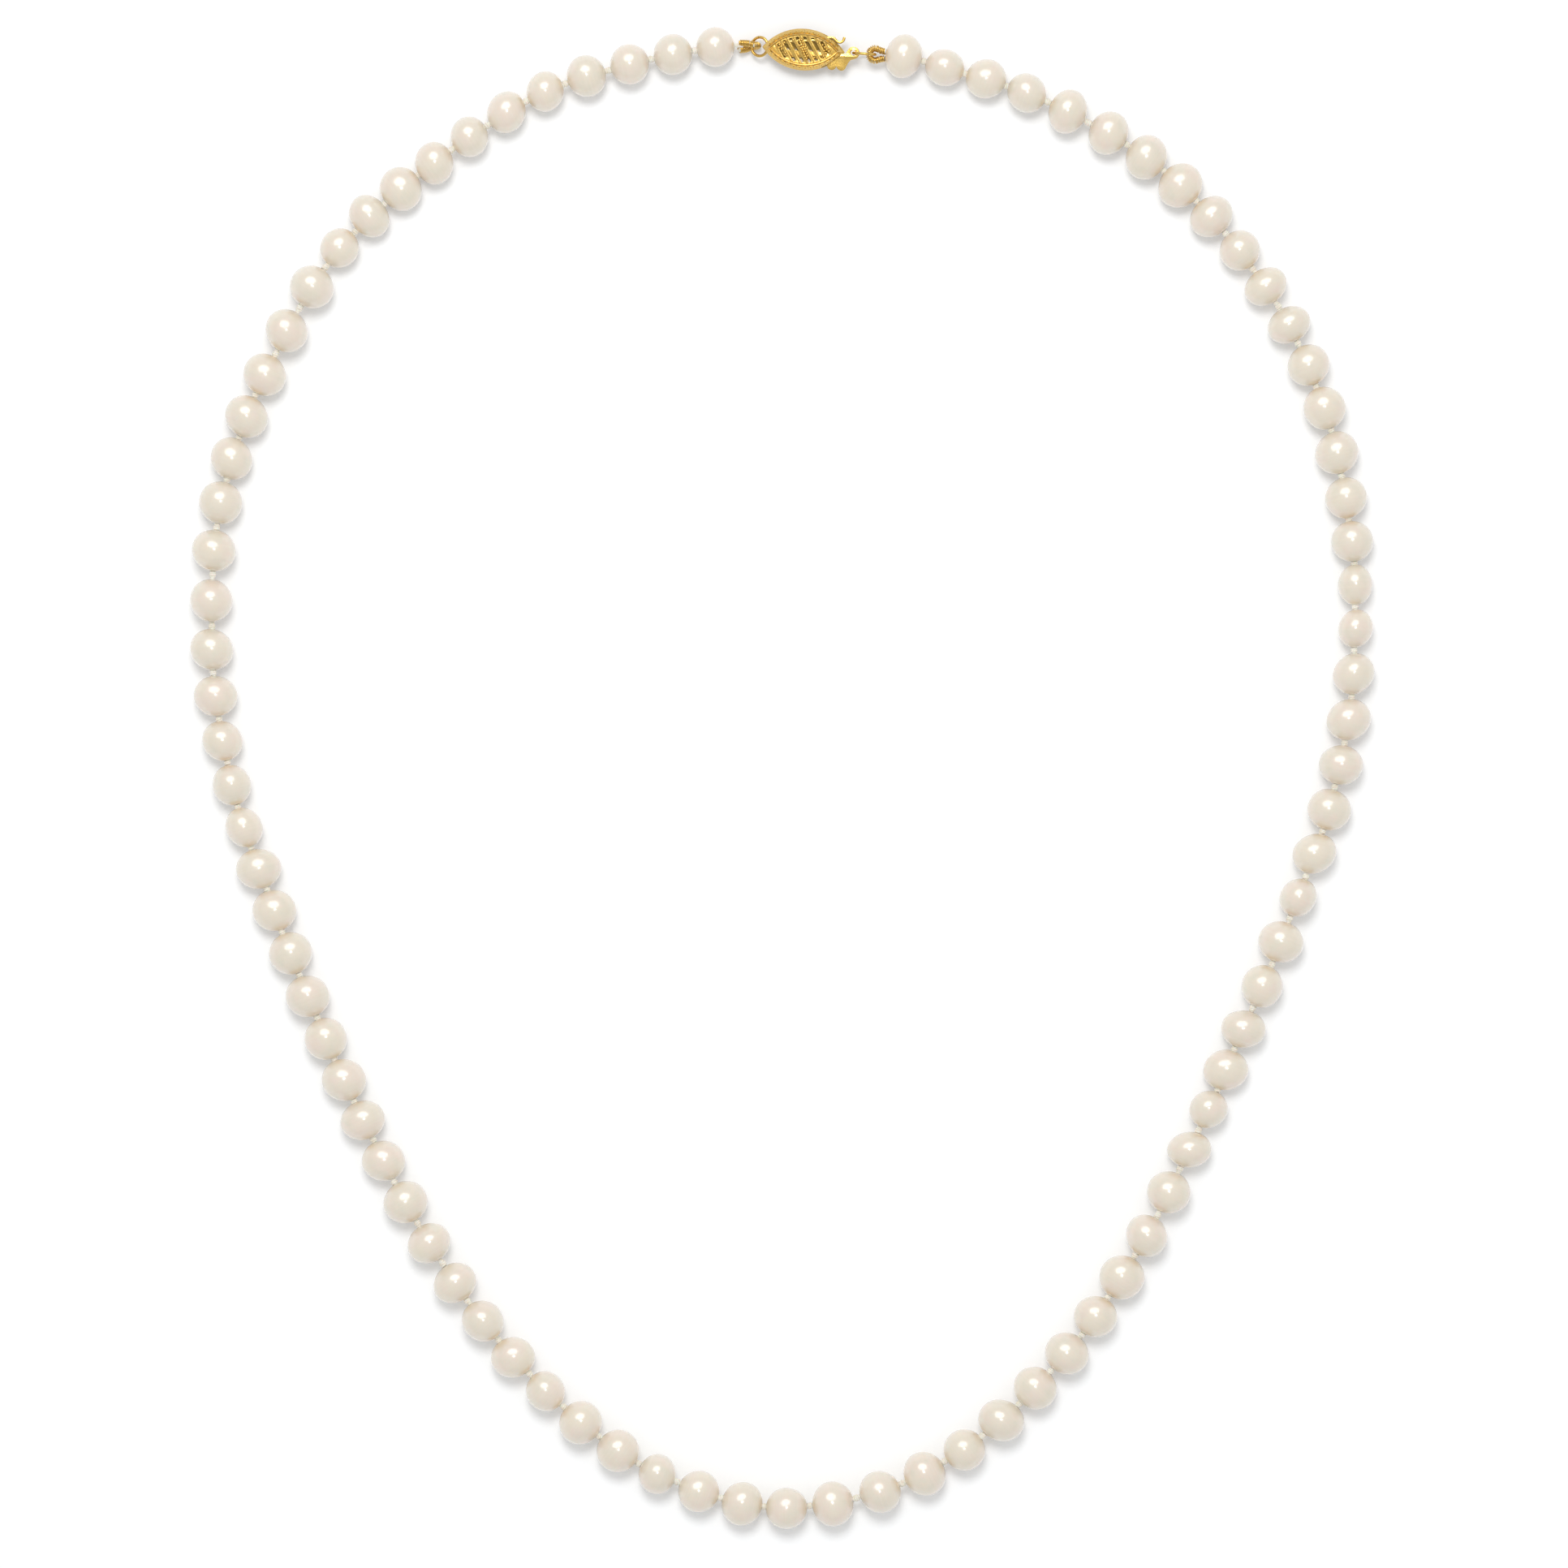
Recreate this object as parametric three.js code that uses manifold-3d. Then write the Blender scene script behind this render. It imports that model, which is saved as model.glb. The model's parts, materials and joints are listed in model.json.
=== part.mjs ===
// A knotted strand of off-round freshwater pearls, closed by a filigree fish-hook clasp.
// The necklace lies fastened on the plane Z = 0, with its front at -Y and its clasp at +Y.
import * as THREE from "three";
import { mergeVertices } from "three/addons/utils/BufferGeometryUtils.js";
import Module from "manifold-3d";

const wasm = await Module();
wasm.setup();

// ---- Driving dimensions, in millimetres and degrees ----

// Strand
const NECKLACE_LENGTH = 508; // once round the fastened loop, clasp included
const ROUTE_LENGTH = 508; // what the route below measures as it is written
const PEARLS_PER_ROUTE_STEP = 3;
const PEARL_COUNT = 86;
const PEARL_ROUNDNESS = 1.14; // width across the thread over length along it
const PEARL_VARIATION = 0.035; // share by which single pearls differ from that
const PEARL_SIDES = 8; // flats round the thread
const PEARL_BANDS = 6; // flats from hole to hole
const PEARL_WAVES = [[0.6, 2.4, 0.7], [0.4, 5.1, 0]]; // share, step and start of each irregular wave
const KNOT_SPACE = 0.9; // between two neighbouring pearls
const KNOT_RADIUS = 0.44;
const KNOT_SHOULDER = 0.25; // share of a knot's length that tapers at each end
const THREAD_RADIUS = 0.27;
const END_THREAD = 0.85; // bare silk between an end pearl and its gimp loop

// Clasp case
const CASE_LENGTH = 10.3;
const CASE_WIDTH = 5.2;
const CASE_THICKNESS = 2.9;
const CASE_WALL = 0.35;
const CASE_BEVEL = 0.72; // how far the sloping rim leans in
const CASE_RIM_HEIGHT = 0.35; // upright part of each half's rim
const CASE_SEAM = 0.1; // solder seam between the halves
const CASE_CENTRE = new THREE.Vector3(2.53, 90.84, 2.5);
const CASE_TURN = -3.9; // about Z
const CASE_ROLL = 5; // about the case's long axis
const SLOT_COUNT = 7;
const SLOT_WIDTH = 0.42;
const SLOT_PITCH = 0.95;
const SLOT_ANGLE = -58;
const SLOT_MARGIN = 0.5; // solid border between the slots and the rim
const MOUTH_LENGTH = 2.75; // how far the open slit reaches in from the right tip
const MOUTH_HEIGHT = 1.3;
const CROSS_BAR_RADIUS = 0.2;
const CROSS_BAR_SIDES = 10;
const ARC_STEPS = 12; // flats along each arc of the case's outline

// Fish hook
const HOOK_THICKNESS = 0.35;
const HOOK_SHANK = 0.9; // width of the shank
const HOOK_REACH = 8.3; // how far the shank's end lies inside the case's right tip
const LEAF_THICKNESS = 0.32;
const LEAF_WIDTH = 1.0;
const LEAF_RISE = 0.42; // share of the rim's width that the leaf reaches at the case's middle
const LEAF_STEPS = 28;
const CURL_START = 1.6; // inside the right tip, where the leaf lies outside the rim
const CURL_LOW = 0.75;
const CURL_RISE = 0.35;
const CURL_END = 0.2;
const GUARD_LENGTH = 2.4;
const GUARD_DROP = 2.3; // from the long axis to the lowest scallop
const GUARD_SHOULDER = [0.6, 0.8]; // where the guard runs into the eye, in eye radii
const EYE_OUTSIDE = 1.07; // the eye's centre beyond the case's tip
const EYE_RADIUS = 0.78;
const EYE_HOLE = 0.33;

// Rings and gimp loops
const JUMP_RING_RADIUS = 1.38; // at the middle of the wire
const END_RING_RADIUS = 1.17;
const RING_WIRE = 0.18; // radius of the wire
const END_RING_TILT = 30;
const END_RING_DEPTH = 0.69; // how far the ring bites in from the left tip
const RING_CLEARANCE = 0.13;
const RING_WIRE_SIDES = 6;
const RING_STEPS = 24;
const GIMP_RADIUS = 0.44;
const GIMP_BEND = 0.78; // bend radius at the middle of the coil
const GIMP_PINCH = [0.62, 0.8]; // how far out the legs end, and are half way, in bend radii
const GIMP_ARC_STEPS = 6;
const GIMP_SIDES = 8;
const GIMP_LENGTH_STEPS = 20;
const GIMP_LEG = { right: 1.15, left: 1.42 };
const GIMP_LEFT_LEAN = 80; // the left loop stands nearly on edge in its ring
const GIMP_LEFT_LEG_LEAN = 25; // and twists flat towards its pearl

const GAP = 0.15; // between pieces that touch

// Middle of every third pearl, clockwise from the one beside the hook, seen from above.
// The last point lies under the clasp and only steers the curve.
const ROUTE = [
  [14.7, 90], [30.1, 85.4], [45, 77.4], [56.7, 65.8], [65.3, 51.5], [70, 35],
  [71.2, 18.7], [69.4, 1.7], [64.1, -14.8], [57.3, -31.2], [50.6, -46.2], [42.2, -62.1],
  [31.4, -75.9], [17.6, -86.6], [0.4, -90.9], [-15.7, -86.6], [-29.6, -76.3], [-40.9, -62.8],
  [-49.8, -47.6], [-57, -32.4], [-63.4, -16.4], [-68.7, -0.8], [-71.2, 16.1], [-70.1, 34.4],
  [-64.6, 50.3], [-55.3, 66.1], [-43.5, 76.7], [-29.7, 85.6], [-13.8, 90.2], [2.1, 92.5],
];

// ---- Materials ----

const pearlNacre = new THREE.MeshStandardMaterial({ color: 0xe9dccb, roughness: 0.22 });
const yellowGold = new THREE.MeshStandardMaterial({ color: 0xd4a84b, roughness: 0.3, metalness: 1 });
const creamSilk = new THREE.MeshStandardMaterial({ color: 0xeee6da, roughness: 0.85 });

// ---- Small tools ----

const radians = THREE.MathUtils.degToRad;

// A closed geometry as a solid that can be cut and joined.
function solidOf(geometry) {
  const bare = new THREE.BufferGeometry().setAttribute("position", geometry.getAttribute("position"));
  bare.setIndex(geometry.getIndex());
  const merged = mergeVertices(bare, 1e-4);
  return new wasm.Manifold(new wasm.Mesh({
    numProp: 3,
    vertProperties: new Float32Array(merged.getAttribute("position").array),
    triVerts: new Uint32Array(merged.getIndex().array),
  }));
}

function geometryOf(solid) {
  const mesh = solid.getMesh();
  return new THREE.BufferGeometry()
    .setAttribute("position", new THREE.BufferAttribute(mesh.vertProperties, 3))
    .setIndex(new THREE.BufferAttribute(mesh.triVerts, 1));
}

function piece(name, shape, material) {
  const geometry = shape.isBufferGeometry ? shape : geometryOf(shape);
  const mesh = new THREE.Mesh(geometry, material);
  mesh.name = name;
  return mesh;
}

function box(low, high) {
  const size = high.map((value, axis) => value - low[axis]);
  const middle = high.map((value, axis) => (value + low[axis]) / 2);
  return new THREE.BoxGeometry(...size).translate(...middle);
}

// A round tube with closed ends along a curve.
function tube(curve, radius, sides, steps) {
  const section = new THREE.Shape();
  for (let side = 0; side < sides; side++) {
    const angle = (side / sides) * 2 * Math.PI;
    const point = [radius * Math.cos(angle), radius * Math.sin(angle)];
    if (side) section.lineTo(...point);
    else section.moveTo(...point);
  }
  return new THREE.ExtrudeGeometry(section, { steps, extrudePath: curve });
}

// ---- Clasp: places along its long axis, from the middle of the case ----

const tip = CASE_LENGTH / 2;
const eyeX = tip + EYE_OUTSIDE;
const jumpRingX = eyeX + JUMP_RING_RADIUS;
const rightGimpX = eyeX + 2 * JUMP_RING_RADIUS;
const endRingLean = radians(END_RING_TILT);
const endRingReach = END_RING_RADIUS * Math.cos(endRingLean);
const endRingDrop = END_RING_RADIUS * Math.sin(endRingLean);
const endRingX = -tip + END_RING_DEPTH - endRingReach;
const leftGimpX = endRingX - endRingReach;
const leftGimpZ = -2 * endRingDrop;

const strandScale = NECKLACE_LENGTH / ROUTE_LENGTH;
const clasp = new THREE.Group();
clasp.position.set(CASE_CENTRE.x * strandScale, CASE_CENTRE.y * strandScale, CASE_CENTRE.z);
clasp.rotation.set(radians(CASE_ROLL), 0, radians(CASE_TURN), "ZYX");
clasp.updateMatrixWorld(true);

// ---- Strand: pearls on a curve, whose ends give way to the clasp's own length ----

const lastPearl = PEARL_COUNT - 1;
const frontPearl = Math.floor(lastPearl / 2);

// Plain cubic through the route: each span leaves with half the step between its neighbours.
function routePoint(at) {
  const last = ROUTE.length - 1;
  const start = Math.min(Math.floor(at), last - 1);
  const end = start + 1;
  const f = at - start;
  return [0, 1].map((axis) => {
    const here = ROUTE[start][axis];
    const next = ROUTE[end][axis];
    const before = start > 0 ? ROUTE[start - 1][axis] : 2 * here - next;
    const after = end < last ? ROUTE[end + 1][axis] : 2 * next - here;
    const leave = (next - before) / 2;
    const arrive = (after - here) / 2;
    const rise = 3 * f * f - 2 * f * f * f;
    return here * (1 - rise) + next * rise
      + leave * (f - 2 * f * f + f * f * f) + arrive * (f * f * f - f * f);
  });
}

const flat = Array.from({ length: PEARL_COUNT }, (_, n) => {
  const [x, y] = routePoint(n / PEARLS_PER_ROUTE_STEP);
  return new THREE.Vector2(x * strandScale, y * strandScale);
});

// Half the length of pearl n along the thread: what its nearer neighbour and a knot leave.
function halfLength(n) {
  const toNext = n < lastPearl ? flat[n].distanceTo(flat[n + 1]) : Infinity;
  const toPrevious = n > 0 ? flat[n].distanceTo(flat[n - 1]) : Infinity;
  return (Math.min(toNext, toPrevious) - KNOT_SPACE) / 2;
}

// Half the width of pearl n across the thread. Single pearls differ in no regular way.
function halfWidth(n) {
  const wave = ([share, step, start]) => share * Math.sin(step * n + start);
  const differs = PEARL_WAVES.reduce((sum, each) => sum + wave(each), 0);
  return halfLength(n) * (PEARL_ROUNDNESS + PEARL_VARIATION * differs);
}

// Each arm shifts so that its end pearl is where the clasp's pieces end. The front pearl stays.
const axisDirection = new THREE.Vector3(1, 0, 0).transformDirection(clasp.matrixWorld);
const claspEnds = [
  { n: 0, reach: rightGimpX + GIMP_LEG.right + GAP + halfLength(0) },
  { n: lastPearl, reach: leftGimpX - GIMP_LEG.left - END_THREAD - halfLength(lastPearl) },
];
for (const end of claspEnds) {
  const wanted = clasp.position.x + end.reach * axisDirection.x;
  end.shift = wanted - flat[end.n].x;
}
const centres = flat.map((point, n) => {
  const end = claspEnds[n <= frontPearl ? 0 : 1];
  const share = (n - frontPearl) / (end.n - frontPearl);
  return new THREE.Vector3(point.x + end.shift * share ** 2, point.y, halfWidth(n));
});

// Points of a half-section, from the axis out and back, of one pearl centred at a height.
function pearlSection(n, height, throat) {
  const a = halfLength(n);
  const b = halfWidth(n);
  const edge = Math.asin(throat / b);
  return Array.from({ length: PEARL_BANDS + 1 }, (_, band) => {
    const angle = edge + ((Math.PI - 2 * edge) * band) / PEARL_BANDS;
    return new THREE.Vector2(b * Math.sin(angle), height - a * Math.cos(angle));
  });
}

// Pearls on one stretch of thread, turned as one solid, with the knot towards the front pearl.
function strandPiece(name, numbers, towards) {
  const first = centres[numbers[0]];
  const last = centres[numbers[numbers.length - 1]];
  const direction = new THREE.Vector3().subVectors(last, first);
  if (numbers.length === 1) direction.subVectors(first, towards);
  const knotLength = KNOT_SPACE - 2 * GAP;
  const foot = -halfLength(numbers[0]);
  const section = [
    new THREE.Vector2(0, foot - knotLength),
    new THREE.Vector2(KNOT_RADIUS, foot - knotLength * (1 - KNOT_SHOULDER)),
    new THREE.Vector2(KNOT_RADIUS, foot - knotLength * KNOT_SHOULDER),
  ];
  numbers.forEach((n, index) => {
    const middle = first.distanceTo(centres[n]);
    const top = middle + halfLength(n);
    const ends = index === numbers.length - 1;
    section.push(...pearlSection(n, middle, THREAD_RADIUS));
    section.push(ends ? new THREE.Vector2(0, top) : new THREE.Vector2(KNOT_RADIUS, top + KNOT_SPACE / 2));
  });
  const made = piece(name, new THREE.LatheGeometry(section, PEARL_SIDES), pearlNacre);
  made.position.copy(first);
  made.quaternion.setFromUnitVectors(new THREE.Vector3(0, 1, 0), direction.normalize());
  return made;
}

const strand = new THREE.Group();
for (const [side, step] of [["right", -1], ["left", 1]]) {
  const inArm = side === "right" ? frontPearl : lastPearl - frontPearl;
  for (let k = 1; 2 * k - 1 <= inArm; k++) {
    const inner = frontPearl + step * (2 * k - 1);
    const numbers = 2 * k <= inArm ? [inner, inner + step] : [inner];
    const name = `pearls_${side}_${String(k).padStart(2, "0")}`;
    strand.add(strandPiece(name, numbers, centres[inner - step]));
  }
}

// The front pearl has knots of its neighbours on both sides, and none of its own.
const frontSection = pearlSection(frontPearl, 0, THREAD_RADIUS);
frontSection.unshift(new THREE.Vector2(0, -halfLength(frontPearl)));
frontSection.push(new THREE.Vector2(0, halfLength(frontPearl)));
const front = piece("pearl_front_centre", new THREE.LatheGeometry(frontSection, PEARL_SIDES), pearlNacre);
front.position.copy(centres[frontPearl]);
front.rotation.z = Math.PI / 2;
strand.add(front);

// ---- Clasp case: two pressed halves soldered round a seam ----

const halfCase = CASE_WIDTH / 2;
const outlineRadius = (tip * tip + halfCase * halfCase) / (2 * halfCase);
const outlineRise = outlineRadius - halfCase;

// A pointed oval of two arcs, drawn in from the case's own outline.
function pointedOval(inset) {
  const radius = outlineRadius - inset;
  const sweep = Math.acos(outlineRise / radius);
  const shape = new THREE.Shape();
  shape.absarc(0, -outlineRise, radius, Math.PI / 2 + sweep, Math.PI / 2 - sweep, true);
  shape.absarc(0, outlineRise, radius, -Math.PI / 2 + sweep, -Math.PI / 2 - sweep, true);
  return shape;
}

// A pointed oval box with sloping rims, set in all round by a wall.
function caseBody(inset) {
  const upright = 2 * CASE_RIM_HEIGHT;
  const slope = CASE_THICKNESS / 2 - inset - CASE_RIM_HEIGHT;
  const body = new THREE.ExtrudeGeometry(pointedOval(CASE_BEVEL + inset), {
    depth: upright,
    bevelThickness: slope,
    bevelSize: CASE_BEVEL,
    bevelSegments: 2,
    curveSegments: ARC_STEPS,
  });
  return solidOf(body.translate(0, 0, -upright / 2));
}

// A fat copy of the end ring's wire clears its way through the left tip.
function ringGeometry(ringRadius, wireRadius) {
  return new THREE.TorusGeometry(ringRadius, wireRadius, RING_WIRE_SIDES, RING_STEPS);
}
function placeEndRing(ring) {
  return ring.rotateY(-endRingLean).translate(endRingX, 0, -endRingDrop);
}

const far = CASE_LENGTH;
const ringWay = solidOf(placeEndRing(ringGeometry(END_RING_RADIUS, RING_WIRE + RING_CLEARANCE)));
const mouth = solidOf(box(
  [tip - MOUTH_LENGTH, -far, -MOUTH_HEIGHT / 2],
  [far, far, MOUTH_HEIGHT / 2],
));
const shell = caseBody(0).subtract(caseBody(CASE_WALL)).subtract(ringWay).subtract(mouth);
const above = solidOf(box([-far, -far, CASE_SEAM / 2], [far, far, far]));
const below = solidOf(box([-far, -far, -far], [far, far, -CASE_SEAM / 2]));

// Slanting slots through the face, kept clear of the rim.
const field = solidOf(new THREE.ExtrudeGeometry(pointedOval(CASE_BEVEL + SLOT_MARGIN), {
  depth: CASE_THICKNESS,
  bevelEnabled: false,
  curveSegments: ARC_STEPS,
}));
let face = shell.intersect(above);
for (let k = 0; k < SLOT_COUNT; k++) {
  const middle = (k - (SLOT_COUNT - 1) / 2) * SLOT_PITCH;
  const slot = box([-CASE_WIDTH, -SLOT_WIDTH / 2, 0], [CASE_WIDTH, SLOT_WIDTH / 2, CASE_THICKNESS]);
  slot.rotateZ(radians(SLOT_ANGLE)).translate(middle, 0, 0);
  face = face.subtract(solidOf(slot).intersect(field));
}
clasp.add(piece("case_filigree_front", face, yellowGold));
clasp.add(piece("case_back", shell.intersect(below), yellowGold));

// A bar across the mouth, under the hook, from wall to wall.
const barX = tip - MOUTH_LENGTH - 2 * CROSS_BAR_RADIUS;
const barZ = -LEAF_WIDTH / 2 - GAP - CROSS_BAR_RADIUS;
const barHalf = Math.sqrt((outlineRadius - CASE_WALL - CASE_BEVEL) ** 2 - barX ** 2) - outlineRise;
const bar = new THREE.CylinderGeometry(CROSS_BAR_RADIUS, CROSS_BAR_RADIUS, 2 * barHalf, CROSS_BAR_SIDES);
clasp.add(piece("case_cross_bar", bar.translate(barX, 0, barZ), yellowGold));

// ---- Fish hook: a flat shank with a scalloped guard and an eye ----

const shankTop = -GAP;
const shankLow = shankTop - HOOK_SHANK;
const shankEnd = tip - HOOK_REACH;
const guardRight = eyeX - EYE_RADIUS;
const guardLeft = guardRight - GUARD_LENGTH;
const scallop = GUARD_LENGTH / 4;
const hookOutline = new THREE.Shape();
hookOutline.moveTo(shankEnd, shankTop);
hookOutline.lineTo(shankEnd, shankLow);
hookOutline.lineTo(guardLeft, shankLow);
hookOutline.lineTo(guardLeft, -GUARD_DROP + scallop);
hookOutline.absarc(guardLeft + scallop, -GUARD_DROP + scallop, scallop, Math.PI, 2 * Math.PI, false);
hookOutline.absarc(guardLeft + 3 * scallop, -GUARD_DROP + scallop, scallop, Math.PI, 2 * Math.PI, false);
hookOutline.lineTo(guardRight + EYE_RADIUS * GUARD_SHOULDER[0], -EYE_RADIUS * GUARD_SHOULDER[1]);
hookOutline.lineTo(guardRight + EYE_RADIUS * GUARD_SHOULDER[0], shankTop);
const plate = { depth: HOOK_THICKNESS, bevelEnabled: false, curveSegments: 6 };
const eyeDisc = new THREE.CylinderGeometry(EYE_RADIUS, EYE_RADIUS, HOOK_THICKNESS, 24);
const eyeHole = new THREE.CylinderGeometry(EYE_HOLE, EYE_HOLE, CASE_THICKNESS, 16);
for (const round of [eyeDisc, eyeHole]) round.rotateX(Math.PI / 2).translate(eyeX, 0, 0);
const hook = solidOf(new THREE.ExtrudeGeometry(hookOutline, plate).translate(0, 0, -HOOK_THICKNESS / 2))
  .add(solidOf(eyeDisc))
  .subtract(solidOf(eyeHole));
clasp.add(piece("hook_plate", hook, yellowGold));

// The sprung leaf runs back beside the shank, leaves through the mouth and ends in a thumb curl.
function edgeAt(x) {
  return Math.sqrt(outlineRadius ** 2 - x ** 2) - outlineRise;
}
const leafOutside = LEAF_THICKNESS / 2 + GAP;
const mouthX = tip - MOUTH_LENGTH;
const leafRoot = shankEnd + 2 * LEAF_THICKNESS;
const curlTop = edgeAt(tip - CURL_START) + leafOutside;
const leafLine = new THREE.CatmullRomCurve3([
  [shankEnd, LEAF_THICKNESS / 2],
  [leafRoot, LEAF_THICKNESS * 2],
  [0, edgeAt(0) * LEAF_RISE],
  [mouthX, edgeAt(mouthX) - CASE_BEVEL],
  [tip - CURL_START, curlTop],
  [tip - CURL_LOW, edgeAt(tip - CURL_LOW) + leafOutside],
  [tip - CURL_RISE, edgeAt(tip - CURL_RISE) + 2 * leafOutside],
  [tip - CURL_END, curlTop],
].map(([x, y]) => new THREE.Vector3(x, y, 0)));
const leafSection = new THREE.Shape([
  new THREE.Vector2(-LEAF_WIDTH / 2, -LEAF_THICKNESS / 2),
  new THREE.Vector2(LEAF_WIDTH / 2, -LEAF_THICKNESS / 2),
  new THREE.Vector2(LEAF_WIDTH / 2, LEAF_THICKNESS / 2),
  new THREE.Vector2(-LEAF_WIDTH / 2, LEAF_THICKNESS / 2),
]);
const leaf = new THREE.ExtrudeGeometry(leafSection, { steps: LEAF_STEPS, extrudePath: leafLine });
clasp.add(piece("hook_spring_leaf", leaf, yellowGold));

// ---- Rings ----

const jumpRing = ringGeometry(JUMP_RING_RADIUS, RING_WIRE).rotateX(Math.PI / 2).translate(jumpRingX, 0, 0);
clasp.add(piece("jump_ring", jumpRing, yellowGold));
clasp.add(piece("end_ring", placeEndRing(ringGeometry(END_RING_RADIUS, RING_WIRE)), yellowGold));

// ---- Gimp loops: coiled gold purl over the silk, bent round each ring back to the pearl ----

// bendLean and legLean turn its flat from the clasp's plane, at the bend and at its ends.
function gimpLoop(name, middle, pearlNumber, endGap, bendLean, legLean) {
  const pearlAt = clasp.worldToLocal(centres[pearlNumber].clone());
  const along = new THREE.Vector3().subVectors(pearlAt, middle).normalize();
  const legs = middle.distanceTo(pearlAt) - halfLength(pearlNumber) - endGap;
  const at = (forward, sideways) => {
    const lean = THREE.MathUtils.lerp(bendLean, legLean, Math.max(forward / legs, 0));
    const across = new THREE.Vector3(0, Math.cos(lean), Math.sin(lean));
    across.addScaledVector(along, -across.dot(along)).normalize();
    return middle.clone().addScaledVector(along, forward).addScaledVector(across, sideways * GIMP_BEND);
  };
  const [pinchEnd, pinchHalf] = GIMP_PINCH;
  const points = [at(legs, pinchEnd), at(legs / 2, pinchHalf)];
  for (let k = 0; k <= GIMP_ARC_STEPS; k++) {
    const angle = (Math.PI * k) / GIMP_ARC_STEPS;
    points.push(at(-GIMP_BEND * Math.sin(angle), Math.cos(angle)));
  }
  points.push(at(legs / 2, -pinchHalf), at(legs, -pinchEnd));
  const coil = tube(new THREE.CatmullRomCurve3(points), GIMP_RADIUS, GIMP_SIDES, GIMP_LENGTH_STEPS);
  clasp.add(piece(name, coil, yellowGold));
}
gimpLoop("gimp_loop_right", new THREE.Vector3(rightGimpX, 0, 0), 0, GAP, 0, 0);
gimpLoop(
  "gimp_loop_left",
  new THREE.Vector3(leftGimpX, 0, leftGimpZ),
  lastPearl,
  END_THREAD,
  radians(GIMP_LEFT_LEAN),
  radians(GIMP_LEFT_LEG_LEAN),
);

// ---- Bare silk between the last left pearl and its gimp loop ----

const silkFrom = centres[lastPearl].clone();
const silkTo = clasp.localToWorld(new THREE.Vector3(leftGimpX - GIMP_LEG.left, 0, leftGimpZ / 2));
const silkLine = new THREE.Vector3().subVectors(silkTo, silkFrom).normalize();
const silkLength = END_THREAD - 2 * GAP;
const silkBall = new THREE.SphereGeometry(KNOT_RADIUS, PEARL_SIDES, PEARL_SIDES);
const silk = piece("end_thread_left", silkBall, creamSilk);
silk.scale.set(1, silkLength / (2 * KNOT_RADIUS), 1);
silk.position.copy(silkFrom).addScaledVector(silkLine, halfLength(lastPearl) + GAP + silkLength / 2);
silk.quaternion.setFromUnitVectors(new THREE.Vector3(0, 1, 0), silkLine);

const necklace = new THREE.Group();
necklace.add(strand, clasp, silk);

export default necklace;
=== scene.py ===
import json
import math

import bmesh
import bpy
from mathutils import Matrix, Vector, noise

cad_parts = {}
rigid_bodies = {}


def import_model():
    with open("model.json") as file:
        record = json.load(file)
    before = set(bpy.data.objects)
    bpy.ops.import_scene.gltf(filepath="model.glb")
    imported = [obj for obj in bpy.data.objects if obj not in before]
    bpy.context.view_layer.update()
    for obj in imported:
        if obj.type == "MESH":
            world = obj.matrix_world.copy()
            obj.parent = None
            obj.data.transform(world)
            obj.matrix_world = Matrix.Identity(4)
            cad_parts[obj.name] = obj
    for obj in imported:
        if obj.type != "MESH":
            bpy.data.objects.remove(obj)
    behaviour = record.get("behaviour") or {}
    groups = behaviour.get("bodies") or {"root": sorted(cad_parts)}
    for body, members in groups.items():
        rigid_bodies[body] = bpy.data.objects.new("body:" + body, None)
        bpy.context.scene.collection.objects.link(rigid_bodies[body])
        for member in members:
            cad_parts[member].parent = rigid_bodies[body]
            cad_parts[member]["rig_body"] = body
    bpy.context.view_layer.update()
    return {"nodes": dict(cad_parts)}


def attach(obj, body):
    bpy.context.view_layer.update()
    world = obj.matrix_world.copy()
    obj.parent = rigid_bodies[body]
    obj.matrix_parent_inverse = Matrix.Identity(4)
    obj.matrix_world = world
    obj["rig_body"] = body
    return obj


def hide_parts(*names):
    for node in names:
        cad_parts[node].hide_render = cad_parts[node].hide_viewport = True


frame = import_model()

MM = 0.001
collection = bpy.context.scene.collection

# ---- Camera ----
# It hangs straight above the necklace as it lies fastened on the table, and takes in the whole
# loop with a little table round it.

CAMERA_HEIGHT = 1.0
PEARL_MIDDLE_HEIGHT = 2.8 * MM
VIEW_WIDTH = 0.1953

lens = bpy.data.cameras.new("overhead_camera")
lens.sensor_width = 36
lens.lens = lens.sensor_width * (CAMERA_HEIGHT - PEARL_MIDDLE_HEIGHT) / VIEW_WIDTH
lens.clip_start = 0.05
lens.clip_end = 20
camera = bpy.data.objects.new("overhead_camera", lens)
camera.location = (0.1 * MM, -0.66 * MM, CAMERA_HEIGHT)
collection.objects.link(camera)
bpy.context.scene.camera = camera

# ---- Strand of pearls ----
# Eighty-six off-round freshwater pearls, drilled through and knotted one by one on silk. Each is
# nacre all through: a cream body colour, faint growth bands round its drill hole, a clear skin.

ROUTE = [
    (14.7, 90), (30.1, 85.4), (45, 77.4), (56.7, 65.8), (65.3, 51.5), (70, 35),
    (71.2, 18.7), (69.4, 1.7), (64.1, -14.8), (57.3, -31.2), (50.6, -46.2), (42.2, -62.1),
    (31.4, -75.9), (17.6, -86.6), (0.4, -90.9), (-15.7, -86.6), (-29.6, -76.3), (-40.9, -62.8),
    (-49.8, -47.6), (-57, -32.4), (-63.4, -16.4), (-68.7, -0.8), (-71.2, 16.1), (-70.1, 34.4),
    (-64.6, 50.3), (-55.3, 66.1), (-43.5, 76.7), (-29.7, 85.6), (-13.8, 90.2), (2.1, 92.5),
]
PEARLS_PER_ROUTE_STEP = 3
KNOT_SPACE = 0.9
ARM_SHIFT = {"right": 0.301, "left": 0.058}
HEIGHT_TO_LENGTH = 1.14
HEIGHT_DIFFERS = 0.035
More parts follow.
